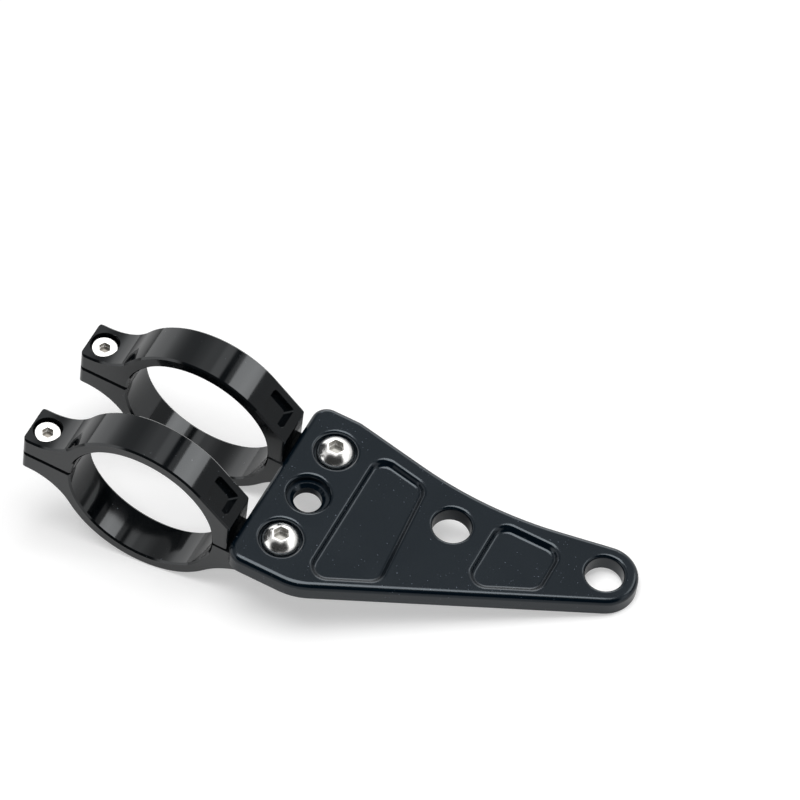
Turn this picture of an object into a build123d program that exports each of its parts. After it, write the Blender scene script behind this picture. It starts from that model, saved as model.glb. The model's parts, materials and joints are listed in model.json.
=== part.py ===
from build123d import *
import math
import os

# Headlight mounting bracket: a milled plate carried by two split clamps that grip a fork tube.
# The pieces are modelled square to the plate: X from the fork axis to the lamp end, Y along the
# fork axis, Z up from the face where the plate sits on the clamps. At the end they are all laid
# down together about the fork axis, so that both rings and the lamp end rest on a floor.

# Clamp rings
fork_d = 43.0
ring_wall = 3.7
clamp_width = 12.0
clamp_pitch = 32.0
clamp_edge_break = 0.5

# Pinch ear, at the far side of the ring from the plate
ear_reach = 14.7
ear_half_height = 6.4
ear_land = 2.2
ear_corner = 1.4
ear_gap = 0.4

# Inner end of the cap, beside the plate
cap_end_reach = 4.7
cap_end_height = 10.2
cap_end_corner = 1.0
recess_margin = 2.9
recess_length = 8.6
recess_width = 7.2
recess_depth = 2.0
recess_corner = 1.0

# Tab of the base, under the plate
tab_reach = 6.1
tab_thickness = 4.0
tab_land = 0.8
tab_corner = 4.0

# Mounting plate
plate_thickness = 6.0
plate_gap = 1.1
plate_side_margin = 12.0
plate_corner = 4.5
plate_edge_radius = 1.7
plate_bottom_chamfer = 0.4
row_offset = 1.5
screw_inset = 10.9
shoulder_inset = 12.7
shoulder_radius = 6.0
waist_inset = 54.2
waist_drop = 7.95
waist_radius = 110.0
front_corner_inset = 21.0
front_corner_radius = 18.0
lamp_inset = 91.1
lamp_drop = 10.55
lamp_end_radius = 9.25

# Holes and pockets of the plate
lamp_hole_d = 10.6
middle_drop = 17.45
middle_hole_d = 10.6
spare_hole_d = 7.8
spare_hole_chamfer = 0.9
counterbore_d = 11.7
counterbore_depth = 2.2
rim_radius = 1.0
pocket_depth = 1.6
pocket_slope = 55.0
pocket_corner = 4.5
pocket_rim_radius = 1.2
pocket_cove_radius = 1.2
flank_margin = 4.9
front_margin = 2.8
row_web = 10.3
large_pocket_width = 18.1
large_pocket_lean = 4.5
middle_web = 19.9
lamp_web = 12.5
small_pocket_rise = 0.95

# Plate screws, with button heads
plate_screw_d = 6.0
plate_screw_length = 8.0
plate_head_d = 10.5
plate_head_height = 4.1
plate_head_edge = 1.2
plate_head_crown = 4.9
plate_socket = 4.0
plate_socket_depth = 2.2
plate_screw_play = 0.3

# Pinch screws, with low heads
pinch_reach = 10.2
pinch_seat = 2.4
pinch_screw_d = 4.0
pinch_screw_length = 8.0
pinch_head_d = 7.4
pinch_head_height = 2.8
pinch_head_chamfer = 0.3
pinch_socket = 3.0
pinch_socket_depth = 1.6
pinch_head_play = 0.4
pinch_screw_play = 0.25
thread_play = 0.05
tip_chamfer = 0.6

# Places that follow from the sizes
bore_r = fork_d / 2
ring_r = bore_r + ring_wall
ear_x = -(bore_r + ear_reach)
pinch_x = -(bore_r + pinch_reach)
cap_end_x = bore_r + cap_end_reach
plate_x = cap_end_x + plate_gap
screw_x = plate_x + screw_inset
tab_x = screw_x + tab_reach
front_y = row_offset - clamp_pitch / 2 - plate_side_margin
back_y = row_offset + clamp_pitch / 2 + plate_side_margin
lamp_x = plate_x + lamp_inset
lamp_y = back_y - lamp_drop
lamp_end_x = lamp_x + lamp_end_radius
large_pocket_x = screw_x + row_web
small_pocket_x = large_pocket_x + large_pocket_width + middle_web
middle_y = back_y - middle_drop
middle_lean = (middle_y - row_offset) * math.tan(math.radians(large_pocket_lean))
middle_x = small_pocket_x - (middle_web + middle_lean) / 2
screw_seat = plate_thickness - counterbore_depth
clamp_places = {"front": -clamp_pitch / 2, "rear": clamp_pitch / 2}
lie_angle = math.degrees(math.asin(ring_r / (lamp_end_x - plate_bottom_chamfer)))


def blend_radius(land_x, height):
    # Radius of the concave arc that meets a flat at this height and distance, and the ring
    return (land_x**2 - ring_r**2 + height**2) / (2 * (ring_r - height))


def arc(centre_x, centre_z, radius, start, end):
    # Arc in the ring's plane, from one angle in degrees to another
    turns = [math.radians(angle) for angle in (start, (start + end) / 2, end)]
    return ThreePointArc(*[
        (centre_x + radius * math.cos(turn), 0, centre_z + radius * math.sin(turn)) for turn in turns
    ])


def run(*corners):
    # Straight run in the ring's plane through corners given as x and z
    return Polyline(*[(x, 0, z) for x, z in corners])


def ring_blend(land_x, height):
    # Concave arc from a flat, at a signed distance and height, to the ring, and its angle there
    radius = blend_radius(abs(land_x), abs(height))
    centre_z = height + math.copysign(radius, height)
    towards_flat = math.copysign(90, -height)
    towards_ring = math.degrees(math.atan2(-centre_z, -land_x))
    if towards_ring < towards_flat - 180:
        towards_ring += 360
    if towards_ring > towards_flat + 180:
        towards_ring -= 360
    ring_angle = math.degrees(math.atan2(centre_z, land_x)) % 360
    return arc(land_x, centre_z, radius, towards_flat, towards_ring), ring_angle


def clamp_piece(edges, end_x, end_corner):
    # Profile drawn out to the clamp's width, its rims broken and its corners rounded in plan
    profile = make_face([edge for piece in edges for edge in piece.edges()])
    body = extrude(profile, amount=clamp_width / 2, dir=(0, 1, 0), both=True)
    sides = body.faces().filter_by(Axis.Y)
    body = chamfer(sides.edges(), clamp_edge_break)
    half = clamp_width / 2
    plan = FilletPolyline(
        (ear_x, -half), (end_x, -half), (end_x, half), (ear_x, half),
        radius=[ear_corner, end_corner, end_corner, ear_corner],
        close=True,
    )
    return body & extrude(make_face(plan), amount=2 * ring_r, both=True)


def hole(x, y, low, high, diameter):
    # Round bar along Z, used to cut a hole
    return Pos(x, y, low) * Cylinder(
        diameter / 2, high - low, align=(Align.CENTER, Align.CENTER, Align.MIN)
    )


def clamp_base():
    # Lower half ring with the tapped lower ear and the tab that carries the plate
    ear_blend, ear_angle = ring_blend(ear_x + ear_land, -ear_half_height)
    tab_blend, tab_angle = ring_blend(tab_x - tab_land, -tab_thickness)
    edges = [
        run((ear_x, 0), (-bore_r, 0)),
        arc(0, 0, bore_r, 180, 360),
        run((bore_r, 0), (tab_x, 0), (tab_x, -tab_thickness), (tab_x - tab_land, -tab_thickness)),
        tab_blend,
        arc(0, 0, ring_r, tab_angle, ear_angle),
        ear_blend,
        run((ear_x + ear_land, -ear_half_height), (ear_x, -ear_half_height), (ear_x, 0)),
    ]
    base = clamp_piece(edges, tab_x, tab_corner)
    base -= hole(pinch_x, 0, -2 * ring_r, ring_r, pinch_screw_d + 2 * thread_play)
    base -= hole(screw_x, row_offset, -2 * ring_r, ring_r, plate_screw_d + 2 * thread_play)
    return base


def clamp_cap():
    # Upper half ring with the counterbored upper ear and a flat, recessed inner end
    ear_blend, ear_angle = ring_blend(ear_x + ear_land, ear_half_height)
    end_radius = math.hypot(cap_end_x, cap_end_height)
    end_angle = math.degrees(math.atan2(cap_end_height, cap_end_x))
    flat_angle = end_angle + math.degrees(math.acos(ring_r / end_radius))
    gap_angle = 180 - math.degrees(math.asin(ear_gap / bore_r))
    gap_x = -math.sqrt(bore_r**2 - ear_gap**2)
    flat_start = (
        ring_r * math.cos(math.radians(flat_angle)),
        ring_r * math.sin(math.radians(flat_angle)),
    )
    edges = [
        run((gap_x, ear_gap), (ear_x, ear_gap), (ear_x, ear_half_height), (ear_x + ear_land, ear_half_height)),
        ear_blend,
        arc(0, 0, ring_r, ear_angle, flat_angle),
        run(flat_start, (cap_end_x, cap_end_height), (cap_end_x, 0), (bore_r, 0)),
        arc(0, 0, bore_r, 0, gap_angle),
    ]
    cap = clamp_piece(edges, cap_end_x, cap_end_corner)
    flat_turn = math.radians(flat_angle)
    flat = Plane(
        origin=(cap_end_x, 0, cap_end_height),
        x_dir=(-math.sin(flat_turn), 0, math.cos(flat_turn)),
        z_dir=(math.cos(flat_turn), 0, math.sin(flat_turn)),
    )
    recess = RectangleRounded(recess_length, recess_width, recess_corner)
    cap -= flat * Pos(recess_margin + recess_length / 2, 0, 0) * extrude(recess, amount=recess_depth, both=True)
    cap -= hole(pinch_x, 0, -ring_r, ring_r, pinch_screw_d + 2 * pinch_screw_play)
    cap -= hole(pinch_x, 0, pinch_seat, ring_r, pinch_head_d + 2 * pinch_head_play)
    return cap


def tangent_turn(point, side):
    # Direction in degrees from a point to the lamp end's round, touching it on the given side
    dx = lamp_x - point[0]
    dy = lamp_y - point[1]
    return math.degrees(math.atan2(dy, dx) + side * math.asin(lamp_end_radius / math.hypot(dx, dy)))


def crossing(first, first_turn, second, second_turn):
    # Point where two lines cross, each given by a point and a direction in degrees
    ax, ay = math.cos(math.radians(first_turn)), math.sin(math.radians(first_turn))
    bx, by = math.cos(math.radians(second_turn)), math.sin(math.radians(second_turn))
    along = ((second[0] - first[0]) * by - (second[1] - first[1]) * bx) / (ax * by - ay * bx)
    return (first[0] + along * ax, first[1] + along * ay)


def beside(point, turn, distance):
    # The point moved sideways to the left of a direction in degrees
    side = math.radians(turn + 90)
    return (point[0] + distance * math.cos(side), point[1] + distance * math.sin(side))


def pocket(corners):
    # Shallow sunk field with sloping sides and coved floor, as a solid to cut from the plate's top
    outline = make_face(FilletPolyline(*corners, radius=pocket_corner, close=True))
    field = Pos(0, 0, plate_thickness) * extrude(
        outline, amount=pocket_depth, dir=(0, 0, -1), taper=90 - pocket_slope
    )
    floor = field.faces().sort_by(Axis.Z)[0]
    return fillet(floor.edges(), pocket_cove_radius)


def mounting_plate():
    # Flat plate that narrows to the lamp bolt, with pockets, holes and broken edges
    shoulder = (plate_x + shoulder_inset, back_y)
    waist = (plate_x + waist_inset, back_y - waist_drop)
    front_corner = (plate_x + front_corner_inset, front_y)
    flank_turn = math.degrees(math.atan2(waist[1] - shoulder[1], waist[0] - shoulder[0]))
    front_turn = tangent_turn(front_corner, -1)
    lamp_corner = crossing(front_corner, front_turn, waist, tangent_turn(waist, 1))
    outline = FilletPolyline(
        (plate_x, front_y), front_corner, lamp_corner, waist, shoulder, (plate_x, back_y),
        radius=[
            plate_corner, front_corner_radius, lamp_end_radius,
            waist_radius, shoulder_radius, plate_corner,
        ],
        close=True,
    )
    plate = extrude(make_face(outline), amount=plate_thickness)

    # The pockets keep a margin to the plate's slanted edges
    flank = beside(shoulder, flank_turn, -flank_margin)
    front = beside(front_corner, front_turn, front_margin)
    left = (large_pocket_x, row_offset)
    right = (large_pocket_x + large_pocket_width, row_offset)
    lean = 90 + large_pocket_lean
    plate -= pocket([
        crossing(front, front_turn, left, 90),
        crossing(front, front_turn, right, lean),
        crossing(flank, flank_turn, right, lean),
        crossing(flank, flank_turn, left, 90),
    ])
    left = (small_pocket_x, lamp_y + small_pocket_rise)
    right = (lamp_x - lamp_web, lamp_y + small_pocket_rise)
    plate -= pocket([
        crossing(front, front_turn, left, 90),
        crossing(front, front_turn, right, 90),
        right,
        left,
    ])

    # Holes through the plate: two screws and a spare in one row, the middle hole and the lamp bolt
    for place in clamp_places.values():
        plate -= hole(screw_x, place + row_offset, 0, plate_thickness, plate_screw_d + 2 * plate_screw_play)
        plate -= hole(screw_x, place + row_offset, screw_seat, plate_thickness, counterbore_d)
    plate -= hole(screw_x, row_offset, 0, plate_thickness, spare_hole_d)
    plate -= hole(screw_x, row_offset, screw_seat, plate_thickness, counterbore_d)
    plate -= Pos(screw_x, row_offset, screw_seat - spare_hole_chamfer / 2) * Cone(
        spare_hole_d / 2, spare_hole_d / 2 + spare_hole_chamfer, spare_hole_chamfer
    )
    plate -= hole(middle_x, middle_y, 0, plate_thickness, middle_hole_d)
    plate -= hole(lamp_x, lamp_y, 0, plate_thickness, lamp_hole_d)

    # Rounded edges: wide on the rims of the pockets and outside, narrower on the rims of the holes
    top = plate.faces().filter_by(Axis.Z).sort_by(Axis.Z)[-1]
    rims = [wire.edges() for wire in top.inner_wires()]
    plate = fillet([edge for rim in rims if len(rim) > 1 for edge in rim], pocket_rim_radius)
    top = plate.faces().filter_by(Axis.Z).sort_by(Axis.Z)[-1]
    rims = [wire.edges() for wire in top.inner_wires()]
    plate = fillet([edge for rim in rims if len(rim) == 1 for edge in rim], rim_radius)
    top = plate.faces().filter_by(Axis.Z).sort_by(Axis.Z)[-1]
    plate = fillet(top.outer_wire().edges(), plate_edge_radius)
    bottom = plate.faces().filter_by(Axis.Z).sort_by(Axis.Z)[0]
    return chamfer(bottom.edges(), plate_bottom_chamfer)


def hex_socket(size, depth, top):
    # Hexagonal prism, measured across its flats, to cut down from the top of a head
    across_corners = size / math.cos(math.radians(30))
    return Pos(0, 0, top - depth) * extrude(RegularPolygon(across_corners / 2, 6), amount=2 * depth)


def screw_shank(diameter, length):
    # Plain bar below the head, with a chamfered tip
    shank = hole(0, 0, -length, 0, diameter)
    return chamfer(shank.faces().sort_by(Axis.Z)[0].edges(), tip_chamfer)


def plate_screw():
    # Screw with a domed head that is flat round its socket, its seat at zero height
    radius = plate_head_d / 2
    crown = plate_head_crown / 2
    rise = plate_head_height - plate_head_edge
    dome_z = (crown**2 - radius**2 + plate_head_height**2 - plate_head_edge**2) / (2 * rise)
    dome = Pos(0, 0, dome_z) * Sphere(math.hypot(crown, plate_head_height - dome_z))
    head = hole(0, 0, 0, plate_head_height, plate_head_d) & dome
    head -= hex_socket(plate_socket, plate_socket_depth, plate_head_height)
    return head + screw_shank(plate_screw_d, plate_screw_length)


def pinch_screw():
    # Screw with a low cylindrical head, its seat at zero height
    head = hole(0, 0, 0, pinch_head_height, pinch_head_d)
    head = chamfer(head.faces().sort_by(Axis.Z)[-1].edges(), pinch_head_chamfer)
    head -= hex_socket(pinch_socket, pinch_socket_depth, pinch_head_height)
    return head + screw_shank(pinch_screw_d, pinch_screw_length)


def all_pieces():
    # Every piece in its place, square to the plate
    pieces = {"mounting_plate": mounting_plate()}
    base = clamp_base()
    cap = clamp_cap()
    screw = plate_screw()
    pinch = pinch_screw()
    for end, place in clamp_places.items():
        pieces[f"{end}_clamp_base"] = Pos(0, place, 0) * base
        pieces[f"{end}_clamp_cap"] = Pos(0, place, 0) * cap
        pieces[f"{end}_plate_screw"] = Pos(screw_x, place + row_offset, screw_seat) * screw
        pieces[f"{end}_pinch_screw"] = Pos(pinch_x, place, pinch_seat) * pinch
    return pieces


os.makedirs("parts", exist_ok=True)
for name, piece in all_pieces().items():
    export_step(Rot(0, lie_angle, 0) * piece, f"parts/{name}.step")
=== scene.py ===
import json
import math
import bpy
import numpy as np
from mathutils import Matrix, Vector


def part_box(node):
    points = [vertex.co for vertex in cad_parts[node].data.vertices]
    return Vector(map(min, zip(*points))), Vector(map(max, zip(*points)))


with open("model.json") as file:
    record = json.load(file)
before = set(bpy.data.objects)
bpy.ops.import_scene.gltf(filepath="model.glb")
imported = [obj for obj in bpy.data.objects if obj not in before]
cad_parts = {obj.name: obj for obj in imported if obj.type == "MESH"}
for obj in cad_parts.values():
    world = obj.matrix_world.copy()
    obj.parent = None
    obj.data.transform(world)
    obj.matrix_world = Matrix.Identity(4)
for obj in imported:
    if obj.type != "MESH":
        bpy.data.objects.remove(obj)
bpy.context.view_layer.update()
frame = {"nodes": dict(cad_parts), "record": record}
nodes = frame["nodes"]
print("frame loaded:", ", ".join(sorted(nodes)))

scene = bpy.context.scene
scene.view_settings.view_transform = "Standard"


# Small helpers for node trees.

def addNode(tree, kind, **values):
    made = tree.nodes.new(kind)
    for key, value in values.items():
        setattr(made, key, value)
    return made


def setInputs(node, **values):
    for key, value in values.items():
        node.inputs[key].default_value = value


def wire(tree, output, target):
    tree.links.new(output, target)


def objectPlace(tree):
    return addNode(tree, "ShaderNodeTexCoord").outputs["Object"]


def combine(tree, operation, first, second):
    # one sum, product or comparison, of two outputs or of an output and a number
    made = addNode(tree, "ShaderNodeMath", operation=operation)
    wire(tree, first, made.inputs[0])
    if isinstance(second, (int, float)):
        made.inputs[1].default_value = second
    else:
        wire(tree, second, made.inputs[1])
    return made.outputs[0]


def ramp(tree, kind, value, low, high, atLow=0.0, atHigh=1.0):
    # a value moved from one range to another, evenly or smoothly, and held at both ends
    made = addNode(tree, "ShaderNodeMapRange", interpolation_type=kind)
    setInputs(made, **{"From Min": low, "From Max": high, "To Min": atLow, "To Max": atHigh})
    wire(tree, value, made.inputs["Value"])
    return made.outputs["Result"]


def mixColours(tree, share, first, second):
    # the first colour at share 0 and the second at share 1; a colour mix takes its share at input 0 and
    # its colours at inputs 6 and 7, and gives its result at output 2
    made = addNode(tree, "ShaderNodeMix", data_type="RGBA")
    wire(tree, share, made.inputs[0])
    made.inputs[6].default_value = first
    made.inputs[7].default_value = second
    return made.outputs[2]


def makeMaterial(name):
    made = bpy.data.materials.new(name)
    made.use_nodes = True
    made.node_tree.nodes.clear()
    return made, made.node_tree


def showSurface(tree, surface):
    out = addNode(tree, "ShaderNodeOutputMaterial")
    wire(tree, surface, out.inputs["Surface"])


def makeFinish(name):
    made, tree = makeMaterial(name)
    shader = addNode(tree, "ShaderNodeBsdfPrincipled")
    showSurface(tree, shader.outputs["BSDF"])
    return made, tree, shader


def makeGroup(name, inputs, outputs):
    group = bpy.data.node_groups.new(name, "ShaderNodeTree")
    for label in inputs:
        group.interface.new_socket(label, in_out="INPUT", socket_type="NodeSocketFloat")
    for label in outputs:
        group.interface.new_socket(label, in_out="OUTPUT", socket_type="NodeSocketFloat")
    return group, addNode(group, "NodeGroupInput"), addNode(group, "NodeGroupOutput")


def addNoise(tree, **values):
    noise = addNode(tree, "ShaderNodeTexNoise")
    setInputs(noise, **values)
    wire(tree, objectPlace(tree), noise.inputs["Vector"])
    return noise


# Effects that several finishes share: dust, which settles where a drift is high, and grain.
dustLook = {
    "driftScale": 55.0,
    "driftDetail": 2.0,
    "driftLow": 0.42,
    "driftHigh": 0.68,
}
grainLook = {
    "fineDetail": 3.0,
    "fineRoughness": 0.6,
    "broadScale": 60.0,
    "broadDetail": 2.0,
    "broadLow": 0.3,
    "broadHigh": 0.7,
    "height": 0.0001,   # metres
}


def dustGroup():
    # specks: points of a cell pattern nearer to their cell's centre than a random share of the
    # size, kept in a share of the cells that rises where a broad noise is high
    group, source, result = makeGroup("dustSpecks", ["Scale", "Size", "Share"], ["Mask"])
    cells = addNode(group, "ShaderNodeTexVoronoi", feature="F1")
    wire(group, objectPlace(group), cells.inputs["Vector"])
    wire(group, source.outputs["Scale"], cells.inputs["Scale"])
    pick = addNode(group, "ShaderNodeSeparateColor")
    wire(group, cells.outputs["Color"], pick.inputs["Color"])
    drift = addNoise(group, Scale=dustLook["driftScale"], Detail=dustLook["driftDetail"])
    settled = ramp(group, "LINEAR", drift.outputs["Fac"], dustLook["driftLow"], dustLook["driftHigh"])
    reach = combine(group, "MULTIPLY", pick.outputs["Red"], source.outputs["Size"])
    near = combine(group, "LESS_THAN", cells.outputs["Distance"], reach)
    share = combine(group, "MULTIPLY", settled, source.outputs["Share"])
    kept = combine(group, "LESS_THAN", pick.outputs["Green"], share)
    speck = combine(group, "MULTIPLY", near, kept)
    wire(group, combine(group, "MULTIPLY", speck, pick.outputs["Blue"]), result.inputs["Mask"])
    return group


def grainGroup():
    # grain: a broad noise spread between a low and a high value, and a fine noise as height
    group, source, result = makeGroup("fineGrain", ["Scale", "Low", "High"], ["Value", "Height"])
    fine = addNoise(group, Detail=grainLook["fineDetail"], Roughness=grainLook["fineRoughness"])
    wire(group, source.outputs["Scale"], fine.inputs["Scale"])
    broad = addNoise(group, Scale=grainLook["broadScale"], Detail=grainLook["broadDetail"])
    spread = addNode(group, "ShaderNodeMapRange")
    setInputs(spread, **{"From Min": grainLook["broadLow"], "From Max": grainLook["broadHigh"]})
    wire(group, broad.outputs["Fac"], spread.inputs["Value"])
    wire(group, source.outputs["Low"], spread.inputs["To Min"])
    wire(group, source.outputs["High"], spread.inputs["To Max"])
    wire(group, spread.outputs["Result"], result.inputs["Value"])
    wire(group, fine.outputs["Fac"], result.inputs["Height"])
    return group


dustSpecks = dustGroup()
fineGrain = grainGroup()
print("shared effects ready")


# The plate: satin blue-black anodising with a little dust.
plateFinish = {
    "colour": (0.0004, 0.003, 0.006, 1),
    "tint": (0.84, 0.93, 1.0, 1),
    "dust": (0.10, 0.12, 0.15, 1),
    "dustScale": 2000.0,
    "dustSize": 0.36,
    "dustShare": 0.22,
    "roughLow": 0.14,
    "roughHigh": 0.19,
    "grainScale": 2600.0,
    "grainBump": 0.03,
    "specular": 0.40,
}

# The clamps: a glossier black than the plate's, with less blue in it.
clampFinish = {
    "colour": (0.0020, 0.0028, 0.0036, 1),
    "tint": (0.95, 0.98, 1.0, 1),
    "dust": (0.07, 0.08, 0.09, 1),
    "dustScale": 1600.0,
    "dustSize": 0.36,
    "dustShare": 0.12,
    "roughLow": 0.07,
    "roughHigh": 0.11,
    "grainScale": 2600.0,
    "grainBump": 0.012,
    "specular": 0.60,
}

# The screws: bright stainless steel, with painted shade inside the drive socket.
steelFinish = {
    "colour": (0.92, 0.91, 0.89, 1),
    # painted shade: darker steel inside the drive socket, where the recess lies in shade
    "socketShade": {"plate": (0.44, 0.43, 0.40, 1), "pinch": (0.30, 0.28, 0.25, 1)},
    "roughLow": 0.16,
    "roughHigh": 0.25,
    "grainScale": 1800.0,
    "grainBump": 0.03,
    "socketReach": {"plate": 0.00215, "pinch": 0.00160},   # metres from the screw's axis
    "socketEdge": 0.0003,
}


def addGrain(tree, shader, look):
    # the grain sets the roughness and a very shallow bump
    grain = addNode(tree, "ShaderNodeGroup", node_tree=fineGrain)
    setInputs(grain, Scale=look["grainScale"], Low=look["roughLow"], High=look["roughHigh"])
    wire(tree, grain.outputs["Value"], shader.inputs["Roughness"])
    bump = addNode(tree, "ShaderNodeBump")
    setInputs(bump, Strength=look["grainBump"], Distance=grainLook["height"])
    wire(tree, grain.outputs["Height"], bump.inputs["Height"])
    wire(tree, bump.outputs["Normal"], shader.inputs["Normal"])


def blackFinish(name, look):
    # the colour goes over to the dust's by the strength of each speck
    made, tree, shader = makeFinish(name)
    shader.inputs["Specular IOR Level"].default_value = look["specular"]
    shader.inputs["Specular Tint"].default_value = look["tint"]
    dust = addNode(tree, "ShaderNodeGroup", node_tree=dustSpecks)
    setInputs(dust, Scale=look["dustScale"], Size=look["dustSize"], Share=look["dustShare"])
    tone = mixColours(tree, dust.outputs["Mask"], look["colour"], look["dust"])
    wire(tree, tone, shader.inputs["Base Color"])
    addGrain(tree, shader, look)
    return made


def axisDistance(tree, node, axis):
    # distance of a point from the screw's axis: the length of the cross product of the axis with the
    # way from the mean of the screw's corners, which lies on the axis as the screw is round
    corners = np.empty(len(node.data.vertices) * 3)
    node.data.vertices.foreach_get("co", corners)
    way = addNode(tree, "ShaderNodeVectorMath", operation="SUBTRACT")
    wire(tree, objectPlace(tree), way.inputs[0])
    way.inputs[1].default_value = corners.reshape(-1, 3).mean(axis=0)
    across = addNode(tree, "ShaderNodeVectorMath", operation="CROSS_PRODUCT")
    wire(tree, way.outputs[0], across.inputs[0])
    across.inputs[1].default_value = axis
    far = addNode(tree, "ShaderNodeVectorMath", operation="LENGTH")
    wire(tree, across.outputs[0], far.inputs[0])
    return far.outputs["Value"]


def brightSteel(name, look, kind, node, axis):
    # the painted shade in the drive socket ends softly at the socket's reach from the screw's axis
    made, tree, shader = makeFinish(name)
    shader.inputs["Metallic"].default_value = 1.0
    reach = look["socketReach"][kind]
    unshaded = ramp(tree, "SMOOTHSTEP", axisDistance(tree, node, axis), reach - look["socketEdge"], reach)
    # the colour goes from the painted shade in the socket to the bright steel outside it
    tone = mixColours(tree, unshaded, look["socketShade"][kind], look["colour"])
    wire(tree, tone, shader.inputs["Base Color"])
    addGrain(tree, shader, look)
    return made


plateBlack = blackFinish("plateBlack", plateFinish)
clampBlack = blackFinish("clampBlack", clampFinish)
plateAxis = next(mount["axis"] for mount in frame["record"]["mounts"] if mount["name"] == "lamp_bolt_hole")

finishOf = {
    "mounting_plate": plateBlack,
    "front_clamp_base": clampBlack,
    "front_clamp_cap": clampBlack,
    "rear_clamp_base": clampBlack,
    "rear_clamp_cap": clampBlack,
}
for end in ("front", "rear"):
    for kind in ("plate", "pinch"):   # both kinds of screw stand square to the plate
        name = f"{end}_{kind}_screw"
        finishOf[name] = brightSteel(f"{end}{kind.title()}Steel", steelFinish, kind, nodes[name], plateAxis)
for name, finish in finishOf.items():
    for slot in nodes[name].material_slots:
        slot.material = finish
print("finishes set on", len(finishOf), "pieces")


# The floor: pale paper that keeps the shadow near the object and goes to plain white far out.
floorLook = {
    "half": 3.0,
    "colour": (0.66, 0.66, 0.66, 1),
    "lift": 0.42,       # added where the camera sees it, rising to farLift between two distances in metres
    "farLift": 1.0,
    "near": 0.25,
    "far": 1.0,
    "mirrored": 0.10,   # added where a reflection shows it
}


def makeFloor():
    # what is added rises smoothly with the distance from the middle of the floor
    half = floorLook["half"]
    low = min(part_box(name)[0].z for name in nodes)
    corners = [(-half, -half, low), (half, -half, low), (half, half, low), (-half, half, low)]
    mesh = bpy.data.meshes.new("floor")
    mesh.from_pydata(corners, [], [(0, 1, 2, 3)])
    floor = bpy.data.objects.new("floor", mesh)
    scene.collection.objects.link(floor)
    made, tree = makeMaterial("paleFloor")
    shade = addNode(tree, "ShaderNodeBsdfDiffuse")
    shade.inputs["Color"].default_value = floorLook["colour"]
    away = addNode(tree, "ShaderNodeVectorMath", operation="LENGTH")
    wire(tree, objectPlace(tree), away.inputs[0])
    rise = ramp(tree, "SMOOTHSTEP", away.outputs["Value"], floorLook["near"], floorLook["far"],
                floorLook["lift"], floorLook["farLift"])
    path = addNode(tree, "ShaderNodeLightPath")
    direct = combine(tree, "MULTIPLY", path.outputs["Is Camera Ray"], rise)
    mirrored = combine(tree, "MULTIPLY", path.outputs["Is Glossy Ray"], floorLook["mirrored"])
    lift = addNode(tree, "ShaderNodeEmission")
    wire(tree, combine(tree, "ADD", direct, mirrored), lift.inputs["Strength"])
    both = addNode(tree, "ShaderNodeAddShader")
    wire(tree, shade.outputs[0], both.inputs[0])
    wire(tree, lift.outputs[0], both.inputs[1])
    showSurface(tree, both.outputs[0])
    mesh.materials.append(made)


# The room: a tent, pale above and paler round its foot. Panels change its level in some directions:
# those of negative level are the dark side where the camera stands, two shades and a thin streak.
roomLook = {
    "fill": 0.05,       # what it gives to rough surfaces, the same all round
    "high": 0.60,
    "foot": 0.68,       # added up to the first height in degrees, and faded out at the second
    "footFull": 22.0,
    "footNone": 45.0,
    "least": 0.03,
    "panels": {         # full up to the inner angle from their direction, gone at the outer, in degrees
        "cameraLeft": {"towards": (0.05, -0.86, 0.50), "inner": 24.0, "outer": 37.0, "level": -1.3},
        "cameraRight": {"towards": (0.68, -0.60, 0.42), "inner": 24.0, "outer": 37.0, "level": -1.3},
        "lowRight": {"towards": (0.83, 0.53, 0.17), "inner": 12.0, "outer": 24.0, "level": -0.95},
        "leftBack": {"towards": (-0.49, 0.53, 0.69), "inner": 14.0, "outer": 26.0, "level": -0.25},
        "back": {"towards": (0.0, 0.53, 0.85), "inner": 13.0, "outer": 22.0, "level": 0.14},
        "lowBack": {"towards": (-0.24, 0.83, 0.50), "inner": 11.0, "outer": 19.0, "level": 3.2},
        "patch": {"towards": (0.18, 0.53, 0.83), "inner": 3.0, "outer": 7.0, "level": 0.45},
        "streak": {"towards": (0.33, 0.53, 0.78), "inner": 1.5, "outer": 4.5, "level": -0.9},
    },
}


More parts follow.
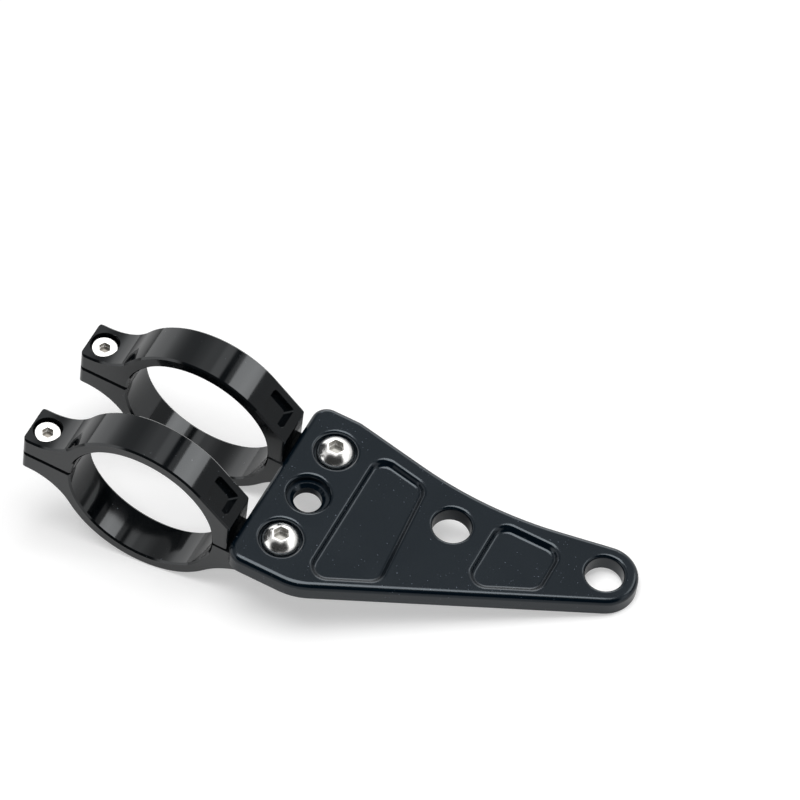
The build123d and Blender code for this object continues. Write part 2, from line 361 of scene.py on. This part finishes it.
def makeRoom():
    # the tent's level falls off smoothly between two heights, a panel's between two angles from its
    # direction; they are added up, and the sum is never below the least level
    world = bpy.data.worlds.new("studioRoom")
    scene.world = world
    world.use_nodes = True
    tree = world.node_tree
    tree.nodes.clear()
    sight = addNode(tree, "ShaderNodeTexCoord").outputs["Generated"]
    height = addNode(tree, "ShaderNodeSeparateXYZ")
    wire(tree, sight, height.inputs[0])
    full = math.sin(math.radians(roomLook["footFull"]))
    gone = math.sin(math.radians(roomLook["footNone"]))
    high = roomLook["high"]
    level = ramp(tree, "SMOOTHSTEP", height.outputs["Z"], full, gone, high + roomLook["foot"], high)
    for panel in roomLook["panels"].values():
        aim = addNode(tree, "ShaderNodeVectorMath", operation="DOT_PRODUCT")
        wire(tree, sight, aim.inputs[0])
        aim.inputs[1].default_value = Vector(panel["towards"]).normalized()
        outer = math.cos(math.radians(panel["outer"]))
        inner = math.cos(math.radians(panel["inner"]))
        fall = ramp(tree, "SMOOTHSTEP", aim.outputs["Value"], outer, inner, 0.0, panel["level"])
        level = combine(tree, "ADD", level, fall)
    level = combine(tree, "MAXIMUM", level, roomLook["least"])
    room = addNode(tree, "ShaderNodeBackground")
    wire(tree, level, room.inputs["Strength"])
    fill = addNode(tree, "ShaderNodeBackground")
    fill.inputs["Strength"].default_value = roomLook["fill"]
    plain = addNode(tree, "ShaderNodeBackground")
    for background in (room, fill, plain):
        background.inputs["Color"].default_value = (1, 1, 1, 1)
    # reflections show the room, the camera sees plain white, and all else gets the fill
    path = addNode(tree, "ShaderNodeLightPath")
    lit = addNode(tree, "ShaderNodeMixShader")
    wire(tree, path.outputs["Is Glossy Ray"], lit.inputs[0])
    wire(tree, fill.outputs[0], lit.inputs[1])
    wire(tree, room.outputs[0], lit.inputs[2])
    seen = addNode(tree, "ShaderNodeMixShader")
    wire(tree, path.outputs["Is Camera Ray"], seen.inputs[0])
    wire(tree, lit.outputs[0], seen.inputs[1])
    wire(tree, plain.outputs[0], seen.inputs[2])
    out = addNode(tree, "ShaderNodeOutputWorld")
    wire(tree, seen.outputs[0], out.inputs["Surface"])


# A soft box stands at a distance along a direction from the object and faces it. The top one would
# burn out the bright screws, which have a broad weak one in its place and one at their side. The
# front one only opens up the shadow under the plate: it isn't mirrored.
softBoxes = {
    "topBox": {"towards": (0.10, -0.05, 1.0), "away": 1.2, "wide": 0.88, "deep": 0.74, "level": 6.6,
               "screws": "EXCLUDE"},
    "screwBox": {"towards": (0.02, 0.22, 1.0), "away": 1.2, "wide": 1.7, "deep": 1.7, "level": 0.98,
                 "screws": "INCLUDE"},
    "screwSide": {"towards": (0.85, 0.42, 0.30), "away": 1.1, "wide": 1.0, "deep": 0.68, "level": 0.9,
                  "screws": "INCLUDE"},
    "rightBox": {"towards": (0.62, 0.53, 0.58), "away": 1.1, "wide": 0.64, "deep": 0.46, "level": 2.8},
    "frontBox": {"towards": (0.35, -0.70, 0.75), "away": 1.2, "wide": 0.50, "deep": 0.50, "level": 3.0,
                 "mirrored": False},
}
lampAim = (0.04, 0.0, 0.0)   # about the middle of the object


def linkScrews(lamp, state):
    # the lamp reaches the screws alone, or everything but the screws
    screws = bpy.data.collections.new(lamp.name + "Screws")
    for name, node in nodes.items():
        if name.endswith("_screw"):
            screws.objects.link(node)
    for entry in screws.collection_objects:
        entry.light_linking.link_state = state
    lamp.light_linking.receiver_collection = screws


def makeSoftBox(name, look):
    # the power is the level times pi times the area, so boxes of one level look equally bright at any size
    light = bpy.data.lights.new(name, "AREA")
    light.shape = "RECTANGLE"
    light.size = look["wide"]
    light.size_y = look["deep"]
    light.energy = look["level"] * math.pi * look["wide"] * look["deep"]
    lamp = bpy.data.objects.new(name, light)
    scene.collection.objects.link(lamp)
    towards = Vector(look["towards"]).normalized()
    lamp.location = Vector(lampAim) + towards * look["away"]
    lamp.rotation_mode = "QUATERNION"
    lamp.rotation_quaternion = (-towards).to_track_quat("-Z", "Y")
    lamp.visible_camera = False
    lamp.visible_glossy = look.get("mirrored", True)
    if "screws" in look:
        linkScrews(lamp, look["screws"])


viewpoint = {
    "target": (0.04749, 0.03867, 0.0),
    "distance": 1.55566,
    "height": 50.569,   # degrees above the floor
    "turn": -33.274,    # degrees round the upright
    "roll": 8.166,      # degrees round the line of sight
    "lens": 259.0,
    "sensor": 36.0,
    "nearest": 0.01,
    "farthest": 20.0,
}


def makeCamera():
    # height and turn give the line of sight and the directions to its right and above it, square to
    # each other; the roll turns the last two round the first
    up = math.radians(viewpoint["height"])
    turn = math.radians(viewpoint["turn"])
    roll = math.radians(viewpoint["roll"])
    away = Vector((math.cos(up) * math.sin(turn), math.cos(up) * math.cos(turn), -math.sin(up)))
    right = Vector((math.cos(turn), -math.sin(turn), 0.0))
    above = Vector((math.sin(up) * math.sin(turn), math.sin(up) * math.cos(turn), math.cos(up)))
    rolledRight = math.cos(roll) * right - math.sin(roll) * above
    rolledAbove = math.sin(roll) * right + math.cos(roll) * above
    data = bpy.data.cameras.new("camera")
    data.sensor_width = viewpoint["sensor"]
    data.lens = viewpoint["lens"]
    data.clip_start = viewpoint["nearest"]
    data.clip_end = viewpoint["farthest"]
    camera = bpy.data.objects.new("camera", data)
    scene.collection.objects.link(camera)
    turned = Matrix((rolledRight, rolledAbove, -away)).transposed().to_4x4()
    place = Vector(viewpoint["target"]) - viewpoint["distance"] * away
    camera.matrix_world = Matrix.Translation(place) @ turned
    scene.camera = camera


makeFloor()
makeRoom()
for name, look in softBoxes.items():
    makeSoftBox(name, look)
makeCamera()
print("floor, light and camera set")
